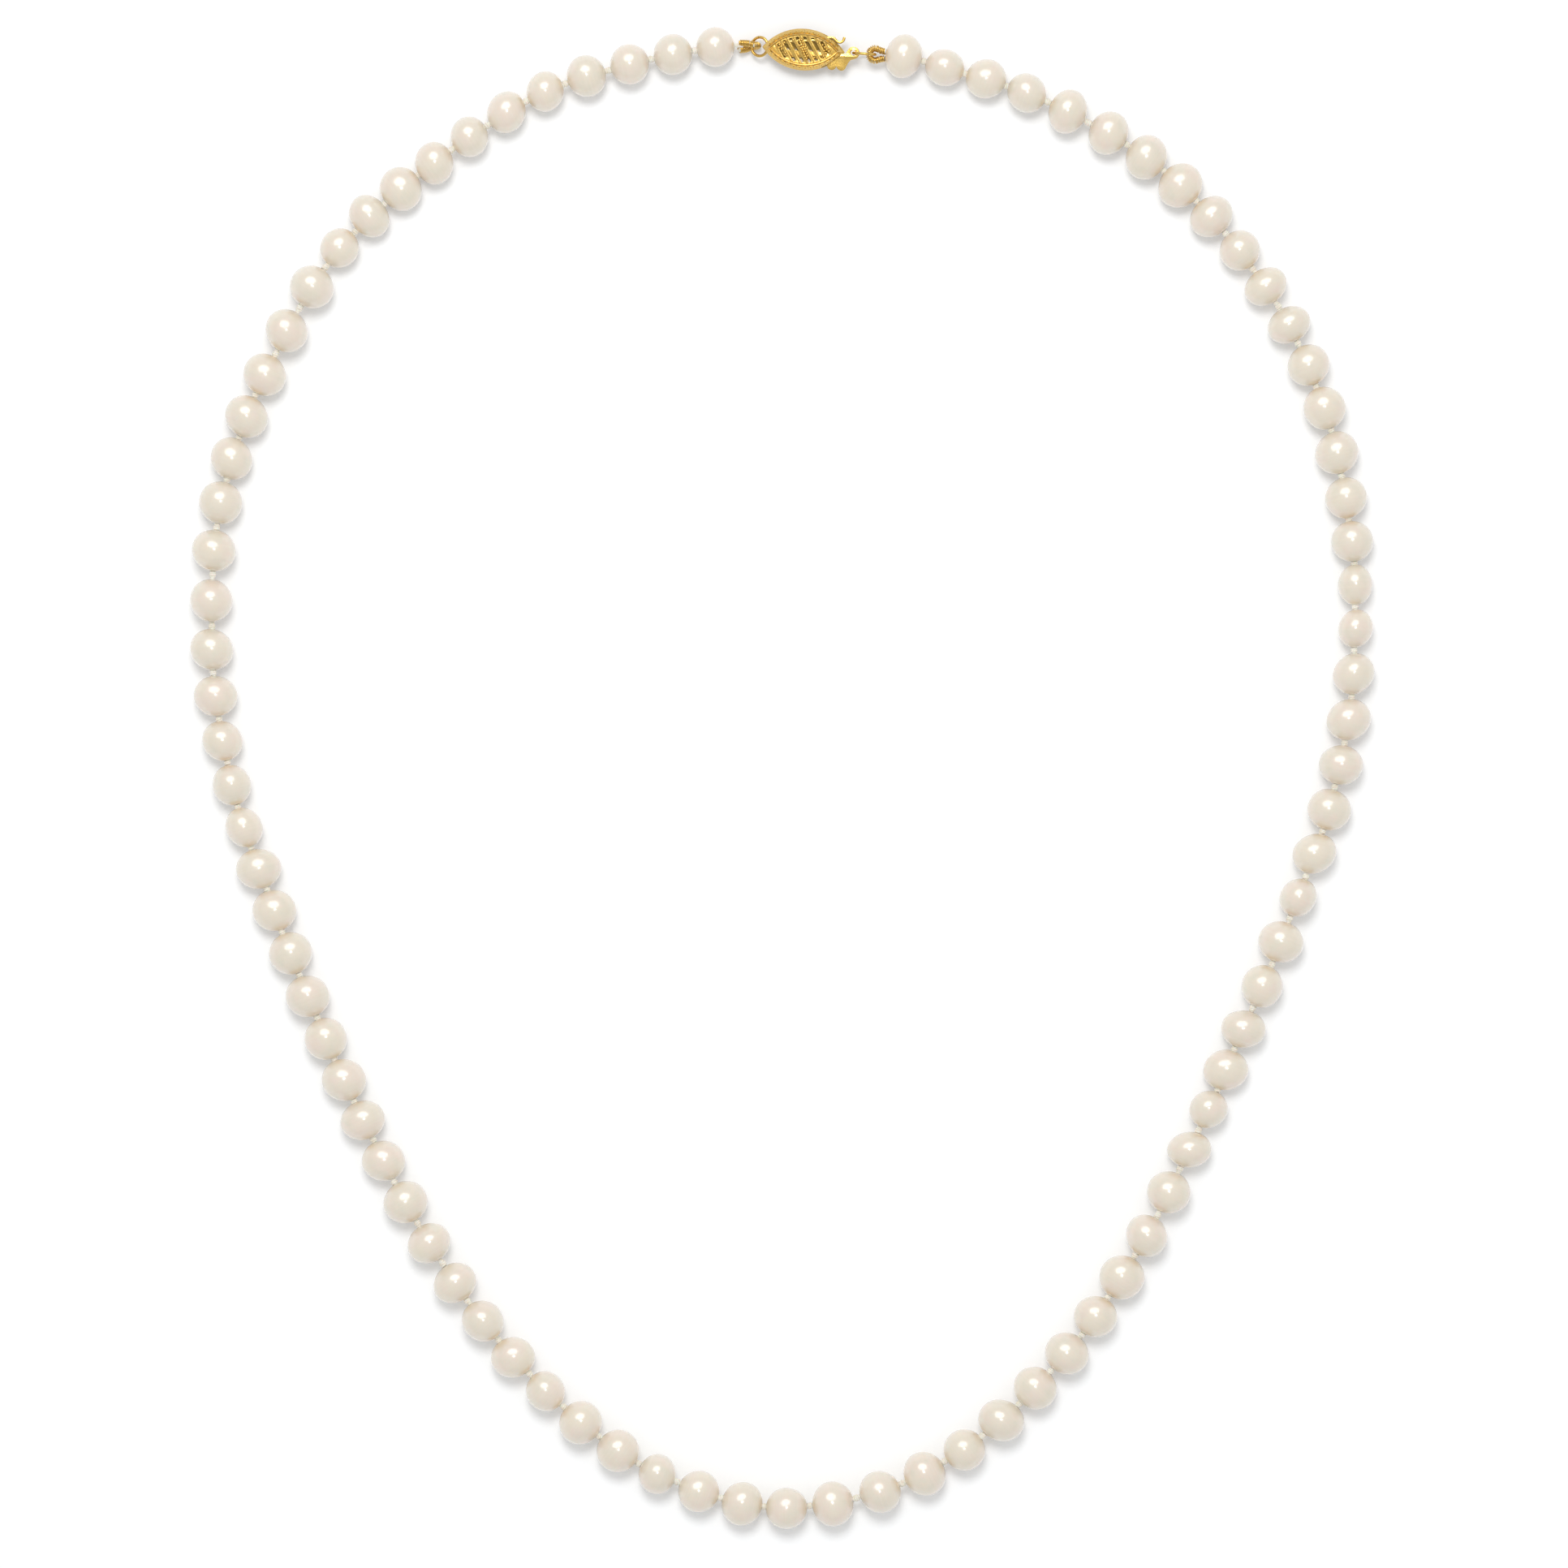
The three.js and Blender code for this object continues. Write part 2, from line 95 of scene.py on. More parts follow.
BROAD_LUMPS = 0.024
SMALL_LUMPS = 0.005
HOLE_DIP = 0.86

# Width across the thread and length along it in mm, and lean of the long side in degrees. The
# strand runs clockwise from the pearl beside the hook.
PEARL_SIZES = [
    (5.55, 4.61, 0), (4.93, 4.57, 87), (5.10, 4.92, -49), (5.10, 4.73, 64), (5.63, 4.74, 5),
    (5.57, 4.90, 4), (5.72, 5.00, 11), (5.81, 5.22, 2), (5.64, 4.80, -1), (5.13, 4.96, -3),
    (5.55, 4.44, 0), (5.55, 4.44, 0), (5.42, 5.01, 19), (5.37, 5.28, -80), (5.53, 5.20, 30),
    (5.27, 5.13, 23), (5.26, 5.08, -6), (5.12, 4.26, 86), (4.83, 4.26, 75), (5.43, 4.91, 51),
    (5.65, 5.06, 33), (5.47, 4.95, 9), (5.50, 5.13, -7), (5.60, 4.87, 44), (4.99, 4.44, 72),
    (5.64, 5.15, 9), (5.36, 5.11, -85), (5.55, 4.75, 18), (5.62, 5.05, 34), (4.84, 4.62, 63),
    (5.57, 4.44, 30), (5.45, 5.26, 5), (5.49, 4.97, -25), (5.64, 5.53, 17), (5.46, 5.12, 26),
    (5.55, 5.15, 13), (5.54, 5.17, 0), (5.78, 5.15, 26), (5.25, 5.15, 39), (5.57, 5.18, 4),
    (5.33, 5.10, 17), (5.62, 5.19, 1), (5.20, 5.17, -40), (5.47, 5.07, -5), (5.18, 5.14, -71),
    (4.96, 4.67, 20), (5.34, 5.28, -32), (5.48, 5.28, -2), (5.08, 4.77, 71), (5.47, 5.05, -31),
    (5.30, 5.05, -75), (5.55, 4.81, 0), (5.55, 4.81, 0), (5.57, 5.19, -3), (5.40, 5.07, -32),
    (5.60, 4.93, -7), (5.56, 5.22, -41), (5.32, 5.28, 84), (5.50, 5.23, -24), (5.37, 5.30, 11),
    (5.48, 5.18, -30), (5.62, 5.00, -16), (5.11, 4.53, -79), (5.09, 4.79, -85), (5.19, 4.88, -50),
    (5.47, 5.04, -21), (5.49, 5.10, -26), (5.39, 5.20, -45), (5.51, 5.14, -12), (5.48, 5.29, -34),
    (5.47, 5.02, -38), (5.57, 5.08, -27), (5.52, 5.09, -17), (5.54, 5.09, -26), (5.62, 5.21, -7),
    (4.98, 4.76, -80), (5.66, 4.62, -8), (5.56, 5.13, -8), (5.38, 4.75, -27), (5.08, 4.68, -25),
    (5.29, 4.74, -51), (5.05, 4.61, -29), (5.27, 4.87, -1), (5.07, 4.85, -5), (5.15, 4.79, -10),
    (5.00, 4.75, -9),
]
FRONT_PEARL = 42
LAST_PEARL = len(PEARL_SIZES) - 1


def route_point(at):
    """Point on the smooth line through the route, at a number of route steps."""
    start = min(int(at), len(ROUTE) - 2)
    f = at - start
    here, after = Vector(ROUTE[start]), Vector(ROUTE[start + 1])
    before = Vector(ROUTE[start - 1]) if start else 2 * here - after
    beyond = Vector(ROUTE[start + 2]) if start + 2 < len(ROUTE) else 2 * after - here
    rise = 3 * f**2 - 2 * f**3
    leave, arrive = (after - before) / 2, (beyond - here) / 2
    return here * (1 - rise) + after * rise + leave * (f - 2 * f**2 + f**3) + arrive * (f**3 - f**2)


flat = [route_point(n / PEARLS_PER_ROUTE_STEP) for n in range(LAST_PEARL + 1)]


def resting_height(n):
    """Height of pearl n's middle as it lies on the table: half its width."""
    near = [flat[m] for m in (n - 1, n + 1) if 0 <= m <= LAST_PEARL]
    half_length = (min((flat[n] - p).length for p in near) - KNOT_SPACE) / 2
    differs = 0.6 * math.sin(2.4 * n + 0.7) + 0.4 * math.sin(5.1 * n)
    return half_length * (HEIGHT_TO_LENGTH + HEIGHT_DIFFERS * differs)


def pearl_middle(n):
    """Middle of pearl n. Each arm gives way a little so that it ends at the clasp."""
    arm, end = ("right", 0) if n <= FRONT_PEARL else ("left", LAST_PEARL)
    share = (n - FRONT_PEARL) / (end - FRONT_PEARL)
    return Vector((flat[n].x + ARM_SHIFT[arm] * share**2, flat[n].y, resting_height(n))) * MM


middles = [pearl_middle(n) for n in range(LAST_PEARL + 1)]


def pearl_node(n):
    """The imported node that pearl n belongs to: the front pearl alone, then pairs up each arm."""
    if n == FRONT_PEARL:
        return "pearl_front_centre"
    arm = "right" if n < FRONT_PEARL else "left"
    return f"pearls_{arm}_{(abs(n - FRONT_PEARL) + 1) // 2:02d}"


def thread_direction(n):
    """Level direction of the thread through pearl n."""
    ends = middles[max(n - 1, 0)], middles[min(n + 1, LAST_PEARL)]
    way = ends[1] - ends[0]
    return Vector((way.x, way.y, 0)).normalized()


def half_along(n):
    """Half the length that pearl n takes up on the thread."""
    across, along, lean = PEARL_SIZES[n]
    turn = math.radians(lean)
    return math.hypot(along * math.cos(turn), across * math.sin(turn)) / 2 * MM


class Wire:
    """A socket in a finish's node tree. Arithmetic on it adds Math nodes."""

    def __init__(self, tree, socket=None):
        self.tree = tree
        self.socket = socket

    def node(self, kind, settings, inputs, output=0):
        """Adds a node, sets it up, then gives its sockets their values or links."""
        made = self.tree.nodes.new("ShaderNode" + kind)
        for name, value in settings.items():
            if name == "stops":
                ramp = made.color_ramp
                while len(ramp.elements) < len(value):
                    ramp.elements.new(0.5)
                for element, (at, colour) in zip(ramp.elements, value):
                    element.position = at
                    element.color = (*colour, 1)
            else:
                setattr(made, name, value)
        for name, value in inputs.items():
            if isinstance(value, Wire):
                self.tree.links.new(value.socket, made.inputs[name])
            else:
                made.inputs[name].default_value = value
        return Wire(self.tree, made.outputs[output])

    def sum_of(self, operation, *values):
        return self.node("Math", {"operation": operation}, dict(enumerate(values)))

    def __add__(self, other):
        return self.sum_of("ADD", self, other)

    def __radd__(self, other):
        return self.sum_of("ADD", other, self)

    def __sub__(self, other):
        return self.sum_of("SUBTRACT", self, other)

    def __rsub__(self, other):
        return self.sum_of("SUBTRACT", other, self)

    def __mul__(self, other):
        return self.sum_of("MULTIPLY", self, other)

    def __rmul__(self, other):
        return self.sum_of("MULTIPLY", other, self)

    def noise(self, scale, detail=2.0, roughness=0.5):
        """Noise, from about 0.3 to 0.7, at this many features to the metre."""
        return self.node("TexNoise", {}, {"Vector": self, "Scale": scale, "Detail": detail,
                                          "Roughness": roughness})

    def between(self, low, high):
        """0 up to low, 1 from high, and smooth between."""
        return self.node("MapRange", {"interpolation_type": "SMOOTHSTEP"},
                         {"Value": self, "From Min": low, "From Max": high})

    def tinted(self, start, end):
        """Colour from start at 0 to end at 1."""
        start = start if isinstance(start, Wire) else (*start, 1)
        end = end if isinstance(end, Wire) else (*end, 1)
        return self.node("Mix", {"data_type": "RGBA"},
                         {"Factor": self, 6: start, 7: end}, output=2)


def new_finish(name):
    """A material with a Principled shader, and the wire of its Object coordinates."""
    material = bpy.data.materials.new(name)
    material.use_nodes = True
    tree = material.node_tree
    shader = tree.nodes["Principled BSDF"]
    return material, shader, Wire(tree).node("TexCoord", {}, {}, output=3)


def wear(shader, **sockets):
    """Gives a shader's sockets their values or wires. Underscores stand for spaces."""
    for name, value in sockets.items():
        socket = shader.inputs[name.replace("_", " ")]
        if isinstance(value, Wire):
            value.tree.links.new(value.socket, socket)
        else:
            socket.default_value = value


def set_down(name, mesh, material, node, stands_for=(), crease=35):
    """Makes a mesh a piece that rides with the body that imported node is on."""
    mesh.materials.clear()
    mesh.materials.append(material)
    mesh.shade_smooth()
    if crease:
        mesh.set_sharp_from_angle(angle=math.radians(crease))
    piece = bpy.data.objects.new(name, mesh)
    collection.objects.link(piece)
    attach(piece, frame["nodes"][node]["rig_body"])
    if stands_for:
        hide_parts(*stands_for)
    return piece


def mesh_from(bm, name, place=None):
    """Closes a bmesh as a mesh, after moving it to its place."""
    if place is not None:
        bm.transform(place)
    mesh = bpy.data.meshes.new(name)
    bm.to_mesh(mesh)
    bm.free()
    return mesh


nacre, shader, spot = new_finish("cream_nacre")
ring = spot.node("Attribute", {"attribute_name": "along_hole"}, {}, output=2)
own = spot.node("Attribute", {"attribute_name": "own_tone"}, {}, output=2)
cream = own.tinted((0.765, 0.680, 0.550), (0.745, 0.668, 0.548))
patches = spot.noise(330, 2, 0.55).between(0.40, 0.66)
blush = patches.tinted(cream, (0.775, 0.660, 0.555))
grey_patches = spot.noise(520, 3, 0.5).between(0.50, 0.72) * 0.55
muted = grey_patches.tinted(blush, (0.695, 0.650, 0.525))
bands = spot.node("CombineXYZ", {}, {"X": ring * 5.5, "Y": own * 40, "Z": 0.0}).noise(1.6, 3, 0.6)
banded = (bands.between(0.42, 0.70) * 0.35).tinted(muted, (0.790, 0.712, 0.585))
near_hole = ring.sum_of("ABSOLUTE", ring).between(0.72, 0.99) * spot.noise(260, 1).between(0.42, 0.60)
coloured = (near_hole * 0.75).tinted(banded, (0.78, 0.62, 0.42))
fine = spot.noise(2600, 4, 0.6)
swell = spot.noise(620, 2, 0.5)
wear(
    shader,
    Base_Color=coloured,
    Roughness=0.24 + 0.14 * fine,
    Normal=spot.node("Bump", {}, {"Height": swell + 0.03 * fine, "Strength": 0.30,
                                 "Distance": 0.11 * MM}),
    IOR=1.5,
    Subsurface_Weight=0.22,
    Subsurface_Radius=(1.0, 0.7, 0.5),
    Subsurface_Scale=0.9 * MM,
    Coat_Weight=1.0,
    Coat_Roughness=0.17,
    Coat_IOR=1.75,
)


def grown_pearl(n):
    """One pearl: a ball whose poles are its drill holes, pressed to its own size and lean."""
    across, along, lean = PEARL_SIZES[n]
    shape = bmesh.new()
    bmesh.ops.create_uvsphere(shape, u_segments=36, v_segments=26, radius=1)
    along_hole = shape.verts.layers.float.new("along_hole")
    own_tone = shape.verts.layers.float.new("own_tone")
    offset = Vector((n * 3.7, n * 1.3, n * 2.1))
    for v in shape.verts:
        v[along_hole] = v.co.z
        v[own_tone] = (n * 0.618) % 1
        if abs(v.co.z) > 0.9999:
            v.co.z *= HOLE_DIP
            continue
        broad = noise.noise(v.co + offset)
        small = noise.noise(v.co * 3.2 + offset)
        v.co *= 1 + BROAD_LUMPS * broad + SMALL_LUMPS * small
    turn = Matrix.Rotation(math.radians(lean), 4, "Y")
    sizes = Matrix.Diagonal((across / 2 * MM, middles[n].z, along / 2 * MM, 1))
    way = thread_direction(n)
    stand = Matrix((
        (-way.y, 0, way.x, middles[n].x),
        (way.x, 0, way.y, middles[n].y),
        (0, 1, 0, middles[n].z),
        (0, 0, 0, 1),
    ))
    return mesh_from(shape, f"pearl_{n}", stand @ turn @ sizes @ turn.inverted())


shown_for = set()
for n in range(LAST_PEARL + 1):
    node = pearl_node(n)
    arm = "front" if n == FRONT_PEARL else "right" if n < FRONT_PEARL else "left"
    count = abs(n - FRONT_PEARL)
    name = "pearl_front" if arm == "front" else f"pearl_{arm}_{count:02d}"
    pearl = set_down(name, grown_pearl(n), nacre, node, crease=None)
    if node not in shown_for:
        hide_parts(node)
        shown_for.add(node)

# ---- Silk thread and knots ----
# Cream silk runs through every pearl. Between two pearls it is tied in an overhand knot, which
# shows as a small barrel of slanting turns, with bare thread where the knot sits off the pearl.

THREAD_RADIUS = 0.30
KNOT_CORD_RADIUS = 0.17
KNOT_TURNS = 3.0
KNOT_LENGTH = 0.80
KNOT_COIL_RADIUS = 0.29
KNOT_TURN_STEPS = 12
KNOT_SLIP = 0.16
KNOT_OFF_LINE = 0.07
KNOT_HEART = 0.2
THREAD_INTO_PEARL = 0.55

silk, shader, spot = new_finish("cream_silk")
fibre = spot.noise(5200, 4, 0.65)
slub = spot.noise(1500, 2, 0.5)
wear(
    shader,
    Base_Color=slub.between(0.35, 0.65).tinted((0.80, 0.74, 0.63), (0.88, 0.84, 0.75)),
    Roughness=0.62 + 0.25 * fibre,
    Normal=spot.node("Bump", {}, {"Height": fibre, "Strength": 0.6, "Distance": 0.05 * MM}),
    Subsurface_Weight=0.1,
    Subsurface_Scale=0.3 * MM,
    Sheen_Weight=0.35,
    Sheen_Roughness=0.45,
)


def mesh_of_curve(line):
    """What a curve makes, as a mesh."""
    holder = bpy.data.objects.new(line.name, line)
    mesh = bpy.data.meshes.new_from_object(holder)
    bpy.data.objects.remove(holder)
    bpy.data.curves.remove(line)
    return mesh


def cord_mesh(name, points, radius, sides=3):
    """A round cord with closed ends along points, as a mesh."""
    line = bpy.data.curves.new(name, "CURVE")
    line.dimensions = "3D"
    line.bevel_depth = radius
    line.bevel_resolution = sides
    line.use_fill_caps = True
    run = line.splines.new("POLY")
    run.points.add(len(points) - 1)
    for spot_on_line, point in zip(run.points, points):
        spot_on_line.co = (*point, 1)
    return mesh_of_curve(line)


def joined(meshes, name):
    """Several meshes as one."""
    bm = bmesh.new()
    for mesh in meshes:
        bm.from_mesh(mesh)
        bpy.data.meshes.remove(mesh)
    bmesh.ops.remove_doubles(bm, verts=bm.verts, dist=1e-7)
    bmesh.ops.recalc_face_normals(bm, faces=bm.faces)
    return mesh_from(bm, name)


def tied_knot(start, end, n):
    """Bare thread from start to end with a knot of slanting turns near its middle."""
    way = (end - start).normalized()
    side = way.orthogonal().normalized()
    up = way.cross(side)
    slip = KNOT_SLIP * math.sin(3.3 * n) * MM
    off = KNOT_OFF_LINE * MM * (side * math.cos(2.1 * n) + up * math.sin(2.1 * n))
    middle = (start + end) / 2 + way * slip + off
    steps = int(KNOT_TURNS * KNOT_TURN_STEPS)
    turns = []
    for k in range(steps + 1):
        share = k / steps
        angle = 2 * math.pi * KNOT_TURNS * share + n
        swell = KNOT_COIL_RADIUS * math.sin(math.pi * (0.12 + 0.76 * share)) ** 0.6
        radial = side * math.cos(angle) + up * math.sin(angle)
        turns.append(middle + radial * swell * MM + way * (share - 0.5) * KNOT_LENGTH * MM)
    bare = [start - way * THREAD_INTO_PEARL * MM, start, middle - way * KNOT_HEART * MM,
            middle + way * KNOT_HEART * MM, end, end + way * THREAD_INTO_PEARL * MM]
    return [cord_mesh("turns", turns, KNOT_CORD_RADIUS * MM),
            cord_mesh("bare", bare, THREAD_RADIUS * MM)]


knots_of = {}
for n in range(LAST_PEARL):
    way = (middles[n + 1] - middles[n]).normalized()
    start = middles[n] + way * half_along(n)
    end = middles[n + 1] - way * half_along(n + 1)
    outer = n if n < FRONT_PEARL else n + 1
    knots_of.setdefault(pearl_node(outer), []).extend(tied_knot(start, end, n))
for node, meshes in knots_of.items():
    name = node.replace("pearls", "silk_knots")
    set_down(name, joined(meshes, name), silk, node, crease=None)

# ---- Gold ----
# Solid 14 carat yellow gold: bright where it was polished, finely grained where it was cast or
# pressed. Every piece of the clasp wears it. The back shell's gold is painted darker, as painted
# shade inside the case.

CASE_CENTRE = (2.53, 90.84, 2.5)
CASE_TURN = math.radians(-3.9)
CASE_ROLL = math.radians(5)
CLASP = (
    Matrix.Translation(Vector(CASE_CENTRE) * MM)
    @ Matrix.Rotation(CASE_TURN, 4, "Z")
    @ Matrix.Rotation(CASE_ROLL, 4, "X")
)


def gold_finish(name, roughness, grain, depth, shade=1.0):
    """Yellow gold with a grain of its own scale and depth. A shade below 1 darkens its colour and coat,
    as painted shade.
    """
    material, shader, spot = new_finish(name)
    cast = spot.noise(grain, 3, 0.6)
    cloudy = spot.noise(grain / 5, 2, 0.5)
    scratches = spot.node("Mapping", {}, {"Vector": spot, "Rotation": (0, 0, 0.5),
                                          "Scale": (1, 14, 1)}).noise(grain * 0.5, 2, 0.5)
    wear(
        shader,
        Base_Color=cloudy.between(0.35, 0.65).tinted(
            (0.62 * shade, 0.390 * shade, 0.080 * shade), (0.70 * shade, 0.455 * shade, 0.108 * shade)
        ),
        Metallic=1.0,
        Roughness=roughness + 0.16 * (cast - 0.5) + 0.10 * scratches.between(0.5, 0.7),
        Normal=spot.node("Bump", {}, {"Height": cast, "Strength": 0.5, "Distance": depth * MM}),
        Coat_Weight=0.5 * shade,
        Coat_IOR=1.6,
        Coat_Roughness=0.12,
    )
    return material


polished_gold = gold_finish("polished_yellow_gold", 0.20, 2400, 0.02)
cast_gold = gold_finish("cast_yellow_gold", 0.32, 5200, 0.05)
plate_gold = gold_finish("brushed_yellow_gold", 0.24, 7000, 0.02)
# Painted shade: the back shell's gold is darkened to 0.62 so the hollow seen through the slots looks
# shadowed. Its higher roughness is the unpolished back.
back_gold_painted_shade = gold_finish("unpolished_gold_painted_shade", 0.42, 5200, 0.05, shade=0.62)

# ---- Jump ring and end ring ----
# Rings bent from round gold wire. Each is closed by butting its ends, which leaves a fine seam.
# The jump ring hangs in the hook's eye, and the end ring goes through the case's far point.

WIRE_RADIUS = 0.18
SEAM_ANGLE = 0.03
JUMP_RING_RADIUS = 1.38
END_RING_RADIUS = 1.17
END_RING_TILT = 30
TIP = 5.15
EYE_X = TIP + 1.07
JUMP_RING_X = EYE_X + JUMP_RING_RADIUS
END_REACH = END_RING_RADIUS * math.cos(math.radians(END_RING_TILT))
END_DROP = END_RING_RADIUS * math.sin(math.radians(END_RING_TILT))
END_RING_X = -TIP + 0.69 - END_REACH


def bent_ring(radius, seam_turn):
    """A round wire spun almost a full turn in its own plane, its ends closed."""
    ring = bmesh.new()
    place = Matrix.Translation((radius * MM, 0, 0)) @ Matrix.Rotation(math.pi / 2, 4, "X")
    bmesh.ops.create_circle(ring, cap_ends=False, segments=20, radius=WIRE_RADIUS * MM, matrix=place)
    sweep = 2 * math.pi - SEAM_ANGLE
    bmesh.ops.spin(ring, geom=list(ring.edges), cent=(0, 0, 0), axis=(0, 0, 1), angle=sweep,
                   steps=72, use_merge=False)
    bmesh.ops.holes_fill(ring, edges=list(ring.edges), sides=0)
    bmesh.ops.recalc_face_normals(ring, faces=ring.faces)
    ring.transform(Matrix.Rotation(math.radians(seam_turn), 4, "Z"))
    return ring


jump_ring = mesh_from(
    bent_ring(JUMP_RING_RADIUS, 70), "jump_ring_wire",
    CLASP @ Matrix.Translation((JUMP_RING_X * MM, 0, 0)) @ Matrix.Rotation(math.pi / 2, 4, "X"),
)
set_down("jump_ring_wire", jump_ring, polished_gold, "jump_ring", ["jump_ring"])
end_ring = mesh_from(
    bent_ring(END_RING_RADIUS, 100), "end_ring_wire",
    CLASP @ Matrix.Translation((END_RING_X * MM, 0, -END_DROP * MM))
    @ Matrix.Rotation(math.radians(-END_RING_TILT), 4, "Y"),
)
set_down("end_ring_wire", end_ring, polished_gold, "end_ring", ["end_ring"])

# ---- Gimp loops ----
# Fine gold wire wound into a hollow coil, slipped over the silk and bent into a U round each
# ring, with both ends drawn up against the last pearl.

GIMP_RADIUS = 0.44
GIMP_WIRE = 0.09
GIMP_PITCH = 0.17
GIMP_BEND = 0.78
GIMP_STEPS = 14
GIMP_SILK_RADIUS = 0.29


def gimp_path(middle, n, end_gap, bend_lean, leg_lean):
    """Middle line of the U, in the clasp's own millimetres, as closely spaced points."""
    pearl = CLASP.inverted() @ middles[n] / MM
    near = [flat[m] for m in (n - 1, n + 1) if 0 <= m <= LAST_PEARL]
    half_length = (min((flat[n] - p).length for p in near) - KNOT_SPACE) / 2
    along = (pearl - middle).normalized()
    legs = (pearl - middle).length - half_length - end_gap

    def at(forward, sideways):
        share = max(forward / legs, 0)
        lean = math.radians(bend_lean + (leg_lean - bend_lean) * share)
        across = Vector((0, math.cos(lean), math.sin(lean)))
        across = (across - along * across.dot(along)).normalized()
        return middle + along * forward + across * sideways * GIMP_BEND

    leg = [(legs, 0.57), (legs * 0.75, 0.60), (legs * 0.5, 0.70), (legs * 0.25, 0.88)]
    bend = [(-GIMP_BEND * math.sin(math.pi * k / 12), math.cos(math.pi * k / 12)) for k in range(13)]
    return [at(*p) for p in leg + bend + [(f, -s) for f, s in reversed(leg)]]


def even_line(points, count):
    """The same line as count + 1 points an even distance apart."""
    steps = [(b - a).length for a, b in zip(points, points[1:])]
    total = sum(steps)
    line = []
    for k in range(count + 1):
        left = total * k / count
        index = 0
        while index < len(steps) - 1 and left > steps[index]:
            left -= steps[index]
            index += 1
        line.append(points[index].lerp(points[index + 1], min(left / steps[index], 1)))
    return line, total


def coiled_gimp(name, node, path):
    """The coil of fine wire round its path, and the silk that fills it."""
    _, total = even_line(path, 10)
    turns = int(total / GIMP_PITCH)
    line, _ = even_line(path, turns * GIMP_STEPS)
    side = (line[1] - line[0]).orthogonal().normalized()
    coil = []
    for k, point in enumerate(line):
        way = (line[min(k + 1, len(line) - 1)] - line[max(k - 1, 0)]).normalized()
        side = (side - way * side.dot(way)).normalized()
        angle = 2 * math.pi * k / GIMP_STEPS
        radial = side * math.cos(angle) + way.cross(side) * math.sin(angle)
        coil.append(CLASP @ ((point + radial * (GIMP_RADIUS - GIMP_WIRE)) * MM))
    wire = cord_mesh(name, coil, GIMP_WIRE * MM, sides=1)
    set_down(name, wire, polished_gold, node, [node], crease=None)
    inside, _ = even_line(path, 40)
    core = cord_mesh(name + "_silk", [CLASP @ (p * MM) for p in inside], GIMP_SILK_RADIUS * MM)
    set_down(name + "_silk", core, silk, node, crease=None)


right_path = gimp_path(Vector((EYE_X + 2 * JUMP_RING_RADIUS, 0, 0)), 0,
                       end_gap=0.15, bend_lean=0, leg_lean=0)
coiled_gimp("gimp_coil_right", "gimp_loop_right", right_path)
left_path = gimp_path(Vector((END_RING_X - END_REACH, 0, -2 * END_DROP)), LAST_PEARL,
                      end_gap=0.85, bend_lean=80, leg_lean=12)
coiled_gimp("gimp_coil_left", "gimp_loop_left", left_path)

# ---- End of the thread ----
# A short piece of bare silk shows between the last pearl of the left arm and its gimp loop. It is
# the end of the same thread, and sags a little on its way.

END_SILK_RADIUS = 0.26
END_SILK_SAG = 0.08
END_SILK_INTO_PEARL = 0.5
END_SILK_INTO_GIMP = 0.4

way = thread_direction(LAST_PEARL)
leaves_pearl = middles[LAST_PEARL] + way * (half_along(LAST_PEARL) - END_SILK_INTO_PEARL * MM)
meets_gimp = CLASP @ ((left_path[0] + left_path[-1]) / 2 * MM) + way * END_SILK_INTO_GIMP * MM
bare_end = []
for k in range(7):
    sag = END_SILK_SAG * MM * math.sin(math.pi * k / 6)
    bare_end.append(leaves_pearl.lerp(meets_gimp, k / 6) - Vector((0, 0, sag)))
set_down("silk_end_left", cord_mesh("silk_end_left", bare_end, END_SILK_RADIUS * MM), silk,
         "end_thread_left", ["end_thread_left"], crease=None)

# ---- Clasp case ----
# Two pressed gold halves in the shape of a pointed oval, soldered round their edge. The front's
# sloping rim is stamped with square cells inside a bright bead line. Its open face is filled by a
# slotted lattice.

HALF_WIDTH = 2.6
WALL = 0.35
SEAM = 0.05
ARC_STEPS = 40
OUTLINE_RADIUS = (TIP**2 + HALF_WIDTH**2) / (2 * HALF_WIDTH)
OUTLINE_RISE = OUTLINE_RADIUS - HALF_WIDTH
MOUTH_LENGTH = 2.75
MOUTH_HEIGHT = 1.3
RING_CLEARANCE = 0.13
PAST_CASE = 9

# Inset from the outline and height, from the seam outside, over the rim, and back inside.
FRONT_SECTION = [
    (0, SEAM), (0, 0.33), (0.05, 0.45), (0.12, 0.53), (0.62, 1.22), (0.64, 1.33), (0.70, 1.40),
    (0.77, 1.38), (0.82, 1.30), (0.84, 0.98), (0.80, 0.86), (0.55, 0.60), (WALL, 0.30), (WALL, SEAM),
]
# The back's outside from the seam down, and its hollow from the bottom up past the seam.
BACK_OUTSIDE = [(0, -SEAM), (0, -0.33), (0.06, -0.47), (0.45, -1.16), (0.60, -1.36), (0.72, -1.45)]
BACK_HOLLOW = [(0.95, -1.10), (0.80, -1.02), (0.50, -0.60), (WALL, -0.30), (WALL, 0.5)]


def tip_at(inset):
    """How far from the middle the two arcs meet, drawn in by an inset."""
    return math.sqrt((OUTLINE_RADIUS - inset) ** 2 - OUTLINE_RISE**2)


def pointed_oval(bm, inset, height):
    """A loop of edges: two arcs that meet in points, each spun from one vertex."""
    before = set(bm.edges)
    tip = tip_at(inset)
    start = bm.verts.new((-tip, 0, height))
    sweep = 2 * math.asin(tip / (OUTLINE_RADIUS - inset))
    for centre in (-OUTLINE_RISE, OUTLINE_RISE):
        last = bmesh.ops.spin(bm, geom=[start], cent=(0, centre, height), axis=(0, 0, -1),
                              angle=sweep, steps=ARC_STEPS, use_merge=False)
        start = next(e for e in last["geom_last"] if isinstance(e, bmesh.types.BMVert))
    edges = [e for e in bm.edges if e not in before]
    bmesh.ops.remove_doubles(bm, verts=list({v for e in edges for v in e.verts}), dist=1e-5)
    return [e for e in bm.edges if e not in before]


